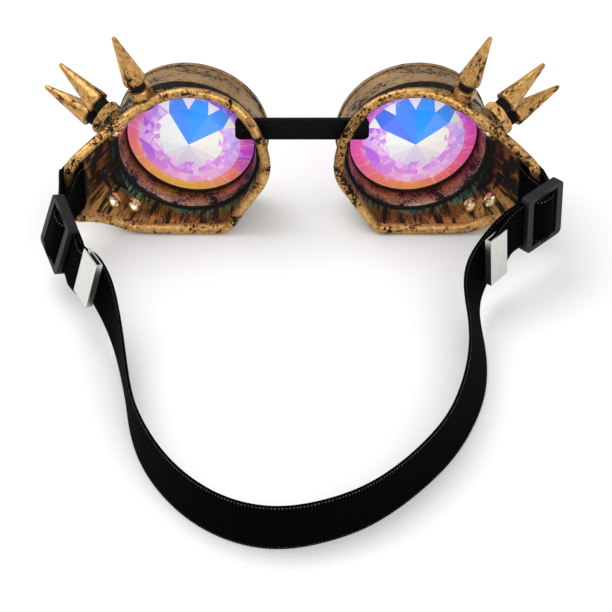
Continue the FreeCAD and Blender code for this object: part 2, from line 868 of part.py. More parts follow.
def buckle(frame):
    """Three-bar strap adjuster: two end bars outside the strap, the middle bar inside it."""
    window = strap_width + 2 * buckle_window_clearance
    rail = (buckle_height - window) / 2
    depth = 2 * buckle_bar_thickness
    block = Part.makeBox(buckle_length, depth, buckle_height,
                         V(-buckle_length / 2, -buckle_bar_thickness, -buckle_height / 2))
    corners = [edge for edge in block.Edges if abs(edge.Vertexes[0].Y - edge.Vertexes[-1].Y) > seat_gap]
    block = block.makeFillet(buckle_corner, corners)
    inner_length = buckle_length - 2 * buckle_bar_width
    low = rail - buckle_height / 2
    hollow = Part.makeBox(inner_length, depth + 2 * cut_overrun, window,
                          V(-inner_length / 2, -buckle_bar_thickness - cut_overrun, low))
    under = Part.makeBox(buckle_length + 2 * cut_overrun, buckle_bar_thickness + cut_overrun, window,
                         V(-buckle_length / 2 - cut_overrun, 0, low))
    middle = Part.makeBox(buckle_bar_width, buckle_bar_thickness, window, V(-buckle_bar_width / 2, 0, low))
    return in_frame(block.cut([hollow, under]).fuse(middle).removeSplitter(), *frame)


def end_clip(stations):
    """Folded metal clip over the last stretch of a strap tail."""
    end, upright = stations[0]
    ahead = (stations[1][0] - end).normalize()
    inward = upright.cross(ahead)
    inner = strap_thickness + 2 * seat_gap
    outer = inner + 2 * clip_thickness
    fold = clip_thickness + seat_gap
    plate = Part.makeBox(clip_length, outer, clip_width, V(-fold, -outer / 2, -clip_width / 2))
    slot = Part.makeBox(clip_length, inner, clip_width + 2 * cut_overrun,
                        V(-seat_gap, -inner / 2, -clip_width / 2 - cut_overrun))
    return in_frame(plate.cut(slot), end, ahead, inward, upright)


def main():
    os.makedirs("parts", exist_ok=True)
    studs = spike_set(spike_stud())
    one_eye = {
        "eyecup": eyecup(),
        "lens_ring": lens_ring(),
        "lens": lens(),
        "lens_gasket": lens_gasket(),
        "spike_upper": studs[0],
        "spike_middle": studs[1],
        "spike_lower": studs[2],
        "spike_seats": Part.Compound(spike_set(hex_seat())),
        "spike_screws": Part.Compound(spike_set(spike_screw())),
        "wing_rivets": wing_rivets(),
    }
    nodes = {}
    for name, shape in one_eye.items():
        nodes["left_" + name] = at_left_eye(shape)
        nodes["right_" + name] = at_right_eye(shape)
    left_frame = buckle_frame(left_buckle_out, left_buckle_back, left_buckle_fall, left_buckle_angles)
    right_frame = buckle_frame(right_buckle_out, right_buckle_back, right_buckle_fall, right_buckle_angles)
    band = band_stations(left_frame, right_frame)
    right_band = [mirrored_station(station) for station in band[::-1]]
    left_end = strap_end(left_frame, band)
    right_end = strap_end(right_frame, right_band)
    nodes["nose_bridge"] = nose_bridge()
    nodes["strap_band"] = ribbon(band)
    nodes["left_strap_end"] = ribbon(left_end)
    nodes["right_strap_end"] = ribbon(right_end).mirror(ORIGIN, AXIS_X)
    nodes["left_buckle"] = buckle(left_frame)
    nodes["right_buckle"] = buckle(right_frame).mirror(ORIGIN, AXIS_X)
    nodes["left_end_clip"] = end_clip(left_end)
    nodes["right_end_clip"] = end_clip(right_end).mirror(ORIGIN, AXIS_X)
    whole = Part.Compound(list(nodes.values())).optimalBoundingBox(False)
    shift = V(-(whole.XMin + whole.XMax) / 2, -(whole.YMin + whole.YMax) / 2, -whole.ZMin)
    for name, shape in nodes.items():
        shape.translate(shift)
        shape.exportStep("parts/" + name + ".step")
        print(name, shape.isValid(), len(shape.Solids), round(shape.Volume, 1))
    print("box", whole.XLength, whole.YLength, whole.ZLength, "shift", shift)
    hinge = left_eye_place() + V(rim_radius * math.cos(math.asin(bridge_rise / rim_radius)), 0, 0)
    print("left swivel", V(hinge.x, -bridge_depth, hinge.z + bridge_rise) + shift)
    print("left lens centre", left_eye_place() + shift, "axis", toed_point(0, 1, 0))
    for name, frame in (("left", left_frame), ("right as left", right_frame)):
        print(name, "buckle", frame[0] + shift, "run", frame[1])


if __name__ == "__main__":
    main()
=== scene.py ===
"""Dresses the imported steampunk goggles: webbing strap, aged brass cups, kaleidoscope lenses and a stage.

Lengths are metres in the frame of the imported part: X to the wearer's right, Y forward, Z up.
"""

import json
import math

import bmesh
import bpy
from bpy.props import FloatProperty, FloatVectorProperty, IntProperty, PointerProperty
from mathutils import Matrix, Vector
from mathutils.bvhtree import BVHTree


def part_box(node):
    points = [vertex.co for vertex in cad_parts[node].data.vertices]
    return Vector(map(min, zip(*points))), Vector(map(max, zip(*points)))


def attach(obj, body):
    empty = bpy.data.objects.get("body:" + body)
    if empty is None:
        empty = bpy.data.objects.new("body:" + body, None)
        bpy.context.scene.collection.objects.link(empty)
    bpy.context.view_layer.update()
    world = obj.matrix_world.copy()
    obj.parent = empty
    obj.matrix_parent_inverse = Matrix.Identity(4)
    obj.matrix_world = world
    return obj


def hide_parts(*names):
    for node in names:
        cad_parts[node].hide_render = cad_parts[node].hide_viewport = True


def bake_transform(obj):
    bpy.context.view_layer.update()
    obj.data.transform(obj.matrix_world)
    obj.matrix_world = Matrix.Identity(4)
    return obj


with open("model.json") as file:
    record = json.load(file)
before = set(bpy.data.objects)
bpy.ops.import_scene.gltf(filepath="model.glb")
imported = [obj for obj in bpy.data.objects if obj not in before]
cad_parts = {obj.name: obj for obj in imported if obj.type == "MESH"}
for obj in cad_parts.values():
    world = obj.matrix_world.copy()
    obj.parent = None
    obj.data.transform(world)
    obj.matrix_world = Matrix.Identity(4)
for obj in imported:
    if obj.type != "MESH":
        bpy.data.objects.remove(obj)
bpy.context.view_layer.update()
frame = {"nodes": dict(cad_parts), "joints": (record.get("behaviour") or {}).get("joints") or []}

bl_info = {
    "name": "Steampunk goggles",
    "version": (1, 0, 0),
    "blender": (4, 5, 0),
    "location": "View3D > Sidebar > Goggles",
    "description": "Dresses the packed goggles with webbing, aged brass and kaleidoscope lenses",
    "category": "Object",
}

SIDES = ("left", "right")
JOINTS = {joint["name"]: joint for joint in frame["joints"]}
MM = 0.001

MERGE_DISTANCE = 0.002 * MM

# Finishes of the eyecup, in the order of its materials
OUTSIDE, BEAD, INSIDE, BORE, PAINT = range(5)

# Places on the eyecup, from its lens, and depths of its wall that tell one finish from the next
BARREL_RADIUS = 25.4 * MM
BARREL_AHEAD = -9.0 * MM
GROOVE_RADIUS = 26.6 * MM
GROOVE_FACING = -0.9
NECK_AHEAD = -10.2 * MM
POCKET_FLOOR = 1.4 * MM
POCKET_WIDTH = 6.0 * MM
BEAD_THICKNESS = 3.0 * MM
SKIN = 0.15 * MM

# Sharp closed loops of edges that mark a break in the eyecup's wall, and how far its lids sink in
BREAK_ANGLE = math.radians(95)
BREAK_LENGTH = 7.0 * MM
BREAK_DEPTH = 0.4 * MM

# Rings of the lens's facets, and the jagged pale middle that sits above its centre
FAN_RADIUS = 14.0 * MM
KITE_RADIUS = 18.4 * MM
FACET_STEP = 30.0
FRONT_FACING = 0.99
PALE_RISE = 3.0 * MM
PALE_RADIUS = 13.4 * MM
JAG_DEPTH = 3.0 * MM

# Black leaf marks of the eyecup's wing, from the lens
WING_ACROSS = 21.0 * MM
WING_FOOT = -13.0 * MM
LEAF_SIZE = 5.0 * MM

# Spikes, nose strip and webbing
SPIKE_NECK = 3.4 * MM
SPIKE_FOOT = 0.4 * MM
STRIP_BEND_SHARES = (0.5, 0.6, 0.7, 0.8, 0.9)
WEBBING_CORNER = math.radians(60)

# Greatest angles shaded smooth, in degrees
WEBBING_SMOOTH = 50
CUP_SMOOTH = 42
SMALL_SMOOTH = 35

# Settings of a Mix node whose inputs 6 and 7 are colours
COLOURS = {"data_type": "RGBA", "output": 2}


def linear(hex_colour):
    """Linear RGBA of an sRGB hex colour."""
    channels = [int(hex_colour[i:i + 2], 16) / 255 for i in (1, 3, 5)]
    return tuple(c / 12.92 if c <= 0.04045 else ((c + 0.055) / 1.055) ** 2.4 for c in channels) + (1.0,)


def tone(name, description, hex_colour):
    """Colour property with an sRGB hex default."""
    return FloatVectorProperty(
        name=name, description=description, default=linear(hex_colour), size=4, min=0, max=1, subtype="COLOR")


class GogglesFinishSettings(bpy.types.PropertyGroup):
    """Colours of the finishes."""
    brass_bright: tone("Bright brass", "Rubbed high places of the metallised plastic", "#DAAC6A")
    brass_deep: tone("Deep brass", "Hollows of the metallised plastic", "#9A6C38")
    brass_paint: tone("Brass paint", "Dark paint left in the pits", "#140D08")
    ring_bright: tone("Bright ring", "Rubbed streaks of the front ring", "#B08E66")
    ring_deep: tone("Deep ring", "Dull streaks of the front ring", "#7D6648")
    ring_paint: tone("Ring paint", "Dark streaks of the front ring", "#3B342D")
    bore_bright: tone("Bright bore", "Gold specks in the barrel", "#BE9468")
    bore_deep: tone("Deep bore", "Plum tint of the barrel in shade", "#6A4862")
    bore_paint: tone("Bore paint", "Dark paint in the barrel", "#2B1922")
    screw_bright: tone("Bright screw", "Polished heads", "#F6E6C4")
    screw_deep: tone("Deep screw", "Turning marks of the heads", "#CFA968")
    webbing: tone("Webbing", "Raised yarns of the strap", "#09090B")
    thread: tone("Thread", "Pale edge thread of the strap", "#7C7C80")
    plastic: tone("Buckle plastic", "Strap adjusters", "#15161A")
    nickel: tone("Nickel", "End clips", "#E2E1DC")


class GogglesStrapSettings(bpy.types.PropertyGroup):
    """Shape of the webbing."""
    columns: IntProperty(name="Columns", description="Faces across the webbing", default=12, min=4)
    fine_steps: IntProperty(name="Fine steps", description="Rows between two rows of the frame", default=3, min=1)
    edge_width: FloatProperty(
        name="Edge width", description="Width of the thinned edge", default=0.9 * MM, unit="LENGTH")
    edge_share: FloatProperty(
        name="Edge share", description="Thickness of the edge against the middle", default=0.5, subtype="FACTOR")


class GogglesStageSettings(bpy.types.PropertyGroup):
    """Camera and light."""
    target: FloatVectorProperty(
        name="Target", description="Point in the middle of the picture", default=(1.4 * MM, 26.7 * MM, 0.1 * MM),
        subtype="XYZ")
    distance: FloatProperty(
        name="Distance", description="From the target to the camera", default=1.15, unit="LENGTH")
    elevation: FloatProperty(
        name="Elevation", description="Camera height over the horizon", default=math.radians(38), subtype="ANGLE")
    focal_length: FloatProperty(name="Focal length", description="Camera lens", default=191.4, unit="CAMERA")
    floor_size: FloatProperty(name="Floor size", description="Side of the floor", default=6.0, unit="LENGTH")
    key_place: FloatVectorProperty(
        name="Key place", description="Middle of the large light", default=(-0.35, 0.25, 0.9), subtype="XYZ")
    fill_place: FloatVectorProperty(
        name="Fill place", description="Middle of the light from the camera's side", default=(0.4, -0.8, 0.7),
        subtype="XYZ")
    light_size: FloatProperty(name="Light size", description="Side of each light", default=0.8, unit="LENGTH")
    key_power: FloatProperty(name="Key power", description="Large light over the table", default=5.0, unit="POWER")
    fill_power: FloatProperty(name="Fill power", description="Light from the camera's side", default=4.0, unit="POWER")
    sky_strength: FloatProperty(name="Sky strength", description="Even light from all sides", default=0.7)


def add_node(tree, kind, inputs=None, stops=(), output=0, **settings):
    """Output of a new node; each input is a socket to link or a value to set, and stops fill a colour ramp."""
    node = tree.nodes.new("ShaderNode" + kind)
    for name, value in settings.items():
        setattr(node, name, value)
    for name, value in (inputs or {}).items():
        if isinstance(value, bpy.types.NodeSocket):
            tree.links.new(value, node.inputs[name])
        else:
            node.inputs[name].default_value = value
    for i, (position, hex_colour) in enumerate(stops):
        elements = node.color_ramp.elements
        element = elements[i] if i < len(elements) else elements.new(position)
        element.position = position
        element.color = linear(hex_colour)
    return node.outputs[output] if node.outputs else node


def new_material(name):
    """Empty node material and its tree."""
    material = bpy.data.materials.new(name)
    material.use_nodes = True
    material.node_tree.nodes.clear()
    return material, material.node_tree


def lens_frame(side):
    """Centre, right, forward and up of an eye's lens."""
    joint = JOINTS[side + "_ring_turn"]
    forward = Vector(joint["axis"])
    up = Vector((0, 0, 1))
    return Vector(joint["pos_m"]), forward.cross(up), forward, up


def in_lens(side, point):
    """Place of a point across, along and up from an eye's lens."""
    centre, right, forward, up = lens_frame(side)
    offset = point - centre
    return offset.dot(right), offset.dot(forward), offset.dot(up)


def lens_place(tree, side):
    """Coordinates centred on an eye's lens and turned to its axis, with Y ahead of it."""
    centre, _, forward, _ = lens_frame(side)
    return add_node(tree, "Mapping", {
        "Vector": add_node(tree, "TexCoord", output="Object"),
        "Location": centre,
        "Rotation": (0, 0, math.atan2(-forward.x, forward.y)),
    }, vector_type="TEXTURE")


def new_piece(name, mesh_data):
    """Object at the origin from a bmesh."""
    mesh = bpy.data.meshes.new(name)
    mesh_data.to_mesh(mesh)
    mesh_data.free()
    piece = bpy.data.objects.new(name, mesh)
    bpy.context.scene.collection.objects.link(piece)
    return piece


def smooth(piece, degrees):
    """Smooth shading up to an angle."""
    bpy.ops.object.select_all(action="DESELECT")
    piece.select_set(True)
    bpy.context.view_layer.objects.active = piece
    bpy.ops.object.shade_smooth_by_angle(angle=math.radians(degrees))


def merged_copy(node):
    """A CAD node's mesh with its loose triangles joined."""
    made = bmesh.new()
    made.from_mesh(frame["nodes"][node].data)
    bmesh.ops.remove_doubles(made, verts=made.verts, dist=MERGE_DISTANCE)
    return made


def paint_node(node, material):
    """Give a CAD node a material."""
    data = frame["nodes"][node].data
    data.materials.clear()
    data.materials.append(material)


def worn_brass(tree, place, bright, deep, paint, speck, cover, shine, shade=0.0):
    """Metallised plastic rubbed back to satin gold, with dark paint left in pits of a size, and black painted shade
    where a shade mask is given.
    """
    clouds = add_node(tree, "TexNoise", {"Vector": place, "Scale": 1 / (6 * MM), "Detail": 3.0})
    pits = add_node(tree, "TexNoise", {"Vector": place, "Scale": 1 / speck, "Detail": 6.0, "Roughness": 0.66})
    height = add_node(tree, "Math", {0: clouds, 1: 0.9, 2: pits}, operation="MULTIPLY_ADD")
    flecks = add_node(tree, "MapRange", {"Value": height, "From Min": cover + 0.05, "From Max": cover - 0.03})
    # Pits take the dark paint, and the shade mask adds painted shade in the same dark colour
    dark = add_node(tree, "Math", {0: flecks, 1: shade}, operation="MAXIMUM")
    grain = add_node(tree, "TexNoise", {"Vector": place, "Scale": 2 / speck, "Detail": 5.0, "Roughness": 0.7})
    worn = add_node(tree, "Math", {0: grain, 1: 0.6, 2: height}, operation="MULTIPLY_ADD")
    rubbed = add_node(tree, "MapRange", {"Value": worn, "From Min": cover + 0.25, "From Max": cover + 0.6})
    gold = add_node(tree, "Mix", {"Factor": rubbed, 6: deep, 7: bright}, **COLOURS)
    shader = add_node(tree, "BsdfPrincipled", {
        "Base Color": add_node(tree, "Mix", {"Factor": dark, 6: gold, 7: paint}, **COLOURS),
        "Metallic": add_node(tree, "MapRange", {"Value": dark, "To Min": 0.72, "To Max": 0.1}),
        "Specular IOR Level": 0.12,
        "Roughness": add_node(tree, "MapRange", {"Value": dark, "To Min": shine, "To Max": 0.65}),
        "Normal": add_node(tree, "Bump", {"Height": height, "Distance": 0.10 * MM}),
    })
    add_node(tree, "OutputMaterial", {"Surface": shader})


def aged_brass(name, speck, cover, shine, along=Vector((0, 0, 1)), stretch=1.0):
    """Gold-sprayed moulded plastic, antiqued with black: satin gold with dark flecks that a rub draws out."""
    finish = bpy.context.scene.goggles_finish
    material, tree = new_material(name)
    place = add_node(tree, "Mapping", {
        "Vector": add_node(tree, "TexCoord", output="Object"),
        "Rotation": along.to_track_quat("Z", "Y").to_euler(),
        "Scale": (1, 1, stretch),
    }, vector_type="TEXTURE")
    worn_brass(tree, place, finish.brass_bright, finish.brass_deep, finish.brass_paint, speck, cover, shine)
    return material


def cup_outside(side):
    """The same plastic outside the cup: gold towards the bead, with black painted shadow in the neck behind the ring.
    """
    finish = bpy.context.scene.goggles_finish
    material, tree = new_material(side + "_cup_outside")
    place = lens_place(tree, side)
    ahead = add_node(tree, "SeparateXYZ", {0: place}, output="Y")
    # Painted shadow: the wall turns black in the neck just behind the ring, where the ring and the flared wall shade
    # each other
    neck = add_node(tree, "MapRange", {"Value": ahead, "From Min": NECK_AHEAD, "From Max": NECK_AHEAD + 0.8 * MM})
    worn_brass(tree, place, finish.brass_deep, finish.ring_deep, finish.brass_paint,
               speck=1.1 * MM, cover=0.88, shine=0.4, shade=neck)
    return material


def ring_brass(side):
    """Bronze-sprayed ring, brushed round its axis: dull brown with dark streaks that follow the turn."""
    finish = bpy.context.scene.goggles_finish
    material, tree = new_material(side + "_ring_brass")
    split = add_node(tree, "SeparateXYZ", {0: lens_place(tree, side)}).node.outputs
    bearing = add_node(tree, "Math", {0: split["X"], 1: split["Z"]}, operation="ARCTAN2")
    around = add_node(tree, "Math", {0: bearing, 1: 10 * MM}, operation="MULTIPLY")
    place = add_node(tree, "CombineXYZ", {"X": around, "Y": split["Y"]})
    worn_brass(tree, place, finish.ring_bright, finish.ring_deep, finish.ring_paint,
               speck=0.9 * MM, cover=0.86, shine=0.42)
    return material


def bore_brass(side):
    """The same plastic inside the barrel: plum-brown from the lens's light, with rubbed gold specks."""
    finish = bpy.context.scene.goggles_finish
    material, tree = new_material(side + "_bore_brass")
    worn_brass(tree, lens_place(tree, side), finish.bore_bright, finish.bore_deep, finish.bore_paint,
               speck=0.9 * MM, cover=0.86, shine=0.4)
    return material


def cup_inside(side):
    """Inside of the cup: gold, then painted amber sheen and painted teal light near the barrel, under black strokes
    and leaf marks.
    """
    material, tree = new_material(side + "_cup_inside")
    place = lens_place(tree, side)
    split = add_node(tree, "SeparateXYZ", {0: place}).node.outputs
    ahead = split["Y"]
    # Painted light: by depth, broken up by noise, the gold turns to a painted amber sheen, then darker brown, then
    # painted teal light near the barrel
    light_blotch = add_node(tree, "TexNoise", {"Vector": place, "Scale": 1 / (9 * MM), "Detail": 3.0})
    pits = add_node(tree, "TexNoise", {"Vector": place, "Scale": 1 / (1.1 * MM), "Detail": 7.0, "Roughness": 0.7})
    flat = add_node(tree, "VectorMath", {0: place, 1: (1, 0.15, 1)}, operation="MULTIPLY")
    outwards = add_node(tree, "VectorMath", {0: flat}, operation="NORMALIZE")
    rays = add_node(tree, "TexNoise", {"Vector": outwards, "Scale": 17.0, "Detail": 6.0, "Roughness": 0.72})
    light_depth = add_node(tree, "Math", {0: light_blotch, 1: 18 * MM, 2: ahead}, operation="MULTIPLY_ADD")
    toward_teal_light = add_node(tree, "MapRange", {"Value": light_depth, "From Min": -11 * MM, "From Max": 1.5 * MM})
    gold_to_teal_light = add_node(tree, "ValToRGB", {"Fac": toward_teal_light}, stops=(
        (0.05, "#C09048"), (0.28, "#885822"), (0.50, "#6B4A20"), (0.66, "#6E7440"), (0.80, "#3C7A62"),
        (0.95, "#24473A")))
    strokes = add_node(tree, "MapRange", {"Value": rays, "From Min": 0.54, "From Max": 0.45})
    flecks = add_node(tree, "MapRange", {"Value": pits, "From Min": 0.44, "From Max": 0.36})
    groove = add_node(tree, "MapRange", {"Value": ahead, "From Min": -10 * MM, "From Max": -9.2 * MM})
    temple = add_node(tree, "Math", {0: split["X"], 1: math.copysign(1, lens_frame(side)[0].x)},
                      operation="MULTIPLY")
    wing = add_node(tree, "MapRange", {"Value": temple, "From Min": WING_ACROSS, "From Max": WING_ACROSS + 2 * MM})
    upper = add_node(tree, "MapRange", {"Value": split["Z"], "From Min": WING_FOOT, "From Max": WING_FOOT + 3 * MM})
    upper_wing = add_node(tree, "Math", {0: wing, 1: upper}, operation="MULTIPLY")
    tall = add_node(tree, "VectorMath", {0: place, 1: (1, 1, 0.6)}, operation="MULTIPLY")
    cells = add_node(tree, "TexVoronoi", {"Vector": tall, "Scale": 1 / LEAF_SIZE})
    leaves = add_node(tree, "MapRange", {"Value": cells, "From Min": 0.54, "From Max": 0.46})
    leaf_marks = add_node(tree, "Math", {0: leaves, 1: upper_wing}, operation="MULTIPLY")
    dark = strokes
    for mark in (flecks, leaf_marks, groove):
        dark = add_node(tree, "Math", {0: dark, 1: mark}, operation="MAXIMUM")
    brown = add_node(tree, "Mix", {"Factor": upper_wing, 6: gold_to_teal_light, 7: linear("#C0A48A")},
                     blend_type="MULTIPLY", **COLOURS)
    shader = add_node(tree, "BsdfPrincipled", {
        "Base Color": add_node(tree, "Mix", {"Factor": dark, 6: brown, 7: linear("#140C07")}, **COLOURS),
        "Metallic": add_node(tree, "MapRange", {"Value": dark, "To Min": 0.45, "To Max": 0.1}),
        "Specular IOR Level": 0.2,
        "Roughness": add_node(tree, "MapRange", {"Value": dark, "To Min": 0.36, "To Max": 0.6}),
        "Normal": add_node(tree, "Bump", {"Height": pits, "Distance": 0.12 * MM}),
    })
    add_node(tree, "OutputMaterial", {"Surface": shader})
    return material


def lens_glass(side):
    """Dichroic glass: each facet throws one clean colour, crinkled and hair-streaked towards the edge, and the glass
    glows with that colour as painted light.
    """
    material, tree = new_material(side + "_lens_glass")
    facet = add_node(tree, "Attribute", output="Color", attribute_name="facet")
    place = lens_place(tree, side)
    flat = add_node(tree, "VectorMath", {0: place, 1: (1, 0, 1)}, operation="MULTIPLY")
    radius = add_node(tree, "VectorMath", {0: flat}, operation="LENGTH", output="Value")
    outwards = add_node(tree, "VectorMath", {0: flat}, operation="NORMALIZE")
    rays = add_node(tree, "TexNoise", {"Vector": outwards, "Scale": 22.0, "Detail": 5.0, "Roughness": 0.75})
    cells = add_node(tree, "TexVoronoi", {"Vector": flat, "Scale": 1 / (2.4 * MM)}, output="Color")
    chance = add_node(tree, "SeparateColor", {0: cells})
    inner = add_node(tree, "MapRange", {
        "Value": radius, "From Min": FAN_RADIUS - 0.4 * MM, "From Max": FAN_RADIUS + 0.6 * MM})
    outer = add_node(tree, "MapRange", {"Value": radius, "From Min": 20.5 * MM, "From Max": 18 * MM})
    raised = add_node(tree, "VectorMath", {0: flat, 1: (0, 0, PALE_RISE)}, operation="SUBTRACT")
    from_raised = add_node(tree, "VectorMath", {0: raised}, operation="LENGTH", output="Value")
    jagged = add_node(tree, "Math", {0: chance.node.outputs["Green"], 1: JAG_DEPTH, 2: from_raised},
                      operation="MULTIPLY_ADD")
    lower = add_node(tree, "MapRange", {"Value": jagged, "From Min": PALE_RADIUS, "From Max": PALE_RADIUS + 0.3 * MM})
    within = add_node(tree, "MapRange", {
        "Value": radius, "From Min": FAN_RADIUS + 0.2 * MM, "From Max": FAN_RADIUS - 0.1 * MM})
    jags = add_node(tree, "Math", {0: lower, 1: within}, operation="MULTIPLY")
    veil = add_node(tree, "Math", {0: jags, 1: facet.node.outputs["Alpha"]}, operation="MULTIPLY")
    tinted = add_node(tree, "Mix", {"Factor": veil, 6: facet, 7: linear("#CE88DC")}, **COLOURS)
    band = add_node(tree, "Math", {0: inner, 1: veil}, operation="MAXIMUM")
    crinkled = add_node(tree, "Math", {0: band, 1: outer}, operation="MULTIPLY")
    pale = add_node(tree, "MapRange", {"Value": chance, "From Min": 0.45, "From Max": 0.9, "To Max": 0.55})
    off_fan = add_node(tree, "Math", {0: crinkled, 1: facet.node.outputs["Alpha"]}, operation="MULTIPLY")
    crinkle = add_node(tree, "Math", {0: off_fan, 1: pale}, operation="MULTIPLY")
    light = add_node(tree, "Mix", {"Factor": crinkle, 6: tinted, 7: linear("#F6DDF4")}, **COLOURS)
    edge = add_node(tree, "MapRange", {"Value": radius, "From Min": 16 * MM, "From Max": 20 * MM, "To Max": 0.5})
    hairs = add_node(tree, "MapRange", {"Value": rays, "From Min": 0.54, "From Max": 0.64})
    streak = add_node(tree, "Math", {0: edge, 1: hairs}, operation="MULTIPLY")
    shown = add_node(tree, "Mix", {"Factor": streak, 6: light, 7: linear("#FCE4EE")}, **COLOURS)
    shader = add_node(tree, "BsdfPrincipled", {
        "Base Color": shown,
        "Roughness": 0.08,
        "IOR": 1.52,
        # Painted light: the glass glows with its own colour, standing for the light that shines through it
        "Emission Color": shown,
        "Emission Strength": 0.42,
    })
    add_node(tree, "OutputMaterial", {"Surface": shader})
    return material


def grained_black(name, size, detail, dark, light, roughness, specular, depth):
    """Black with a grain of a size and depth that also varies its shine."""
    material, tree = new_material(name)
    place = add_node(tree, "TexCoord", output="Object")
    grain = add_node(tree, "TexNoise", {"Vector": place, "Scale": 1 / size, "Detail": detail})
    shader = add_node(tree, "BsdfPrincipled", {
        "Base Color": add_node(tree, "ValToRGB", {"Fac": grain}, stops=((0.3, dark), (0.7, light))),
        "Roughness": add_node(tree, "MapRange", {"Value": grain, "To Min": roughness[0], "To Max": roughness[1]}),
        "Specular IOR Level": specular,
        "Normal": add_node(tree, "Bump", {"Height": grain, "Distance": depth}),
    })
    add_node(tree, "OutputMaterial", {"Surface": shader})
    return material


def black_rubber(name):
    """Black moulded rubber, or thick black paint: matt, with a fine grain."""
    return grained_black(name, size=0.3 * MM, detail=4.0, dark="#060607", light="#121214",
                         roughness=(0.5, 0.8), specular=0.25, depth=0.03 * MM)


def polished_brass():
    """Lacquered screw brass: pale warm mirror with faint turning marks."""
    finish = bpy.context.scene.goggles_finish
    material, tree = new_material("polished_brass")
    place = add_node(tree, "TexCoord", output="Object")
    marks = add_node(tree, "TexNoise", {"Vector": place, "Scale": 1 / (0.6 * MM), "Detail": 5.0})
    lit = add_node(tree, "MapRange", {"Value": marks, "From Min": 0.35, "From Max": 0.6})
    shader = add_node(tree, "BsdfPrincipled", {
        "Base Color": add_node(tree, "Mix", {"Factor": lit, 6: finish.screw_deep, 7: finish.screw_bright}, **COLOURS),
        "Metallic": 1.0,
        "Roughness": add_node(tree, "MapRange", {"Value": marks, "To Min": 0.1, "To Max": 0.28}),
        "Normal": add_node(tree, "Bump", {"Height": marks, "Distance": 0.02 * MM}),
    })
    add_node(tree, "OutputMaterial", {"Surface": shader})
    return material


def strip_vinyl():
    """Black vinyl strip: smooth, with a faint shine and a leather grain."""
    return grained_black("strip_vinyl", size=0.7 * MM, detail=5.0, dark="#030304", light="#0B0B0C",
                         roughness=(0.35, 0.6), specular=0.06, depth=0.05 * MM)


def buckle_plastic():
    """Moulded dark-grey acetal: matt, with a fine spark-eroded texture."""
    material, tree = new_material("buckle_plastic")
    place = add_node(tree, "TexCoord", output="Object")
    grain = add_node(tree, "TexNoise", {"Vector": place, "Scale": 1 / (0.35 * MM), "Detail": 4.0})
    lit = add_node(tree, "MapRange", {"Value": grain, "From Min": 0.3, "From Max": 0.7})
    plastic = bpy.context.scene.goggles_finish.plastic
    shader = add_node(tree, "BsdfPrincipled", {
        "Base Color": add_node(tree, "Mix", {"Factor": lit, 6: linear("#0C0D10"), 7: plastic}, **COLOURS),
        "Roughness": add_node(tree, "MapRange", {"Value": grain, "To Min": 0.42, "To Max": 0.65}),
        "Specular IOR Level": 0.25,
        "Normal": add_node(tree, "Bump", {"Height": grain, "Distance": 0.03 * MM}),
    })
    add_node(tree, "OutputMaterial", {"Surface": shader})
    return material


def clip_nickel():
    """Nickel-plated sheet: pale, satin, brushed along the fold."""
    material, tree = new_material("clip_nickel")
    place = add_node(tree, "Mapping", {"Vector": add_node(tree, "TexCoord", output="Object"), "Scale": (1, 1, 0.05)})
    brushed = add_node(tree, "TexNoise", {"Vector": place, "Scale": 1 / (0.25 * MM), "Detail": 6.0})
    lit = add_node(tree, "MapRange", {"Value": brushed, "From Min": 0.3, "From Max": 0.7})
    nickel = bpy.context.scene.goggles_finish.nickel
    shader = add_node(tree, "BsdfPrincipled", {
        "Base Color": add_node(tree, "Mix", {"Factor": lit, 6: linear("#CBCAC5"), 7: nickel}, **COLOURS),
        "Metallic": 1.0,
        "Roughness": add_node(tree, "MapRange", {"Value": brushed, "To Min": 0.22, "To Max": 0.42}),
        "Normal": add_node(tree, "Bump", {"Height": brushed, "Distance": 0.02 * MM}),
    })
    add_node(tree, "OutputMaterial", {"Surface": shader})
    return material


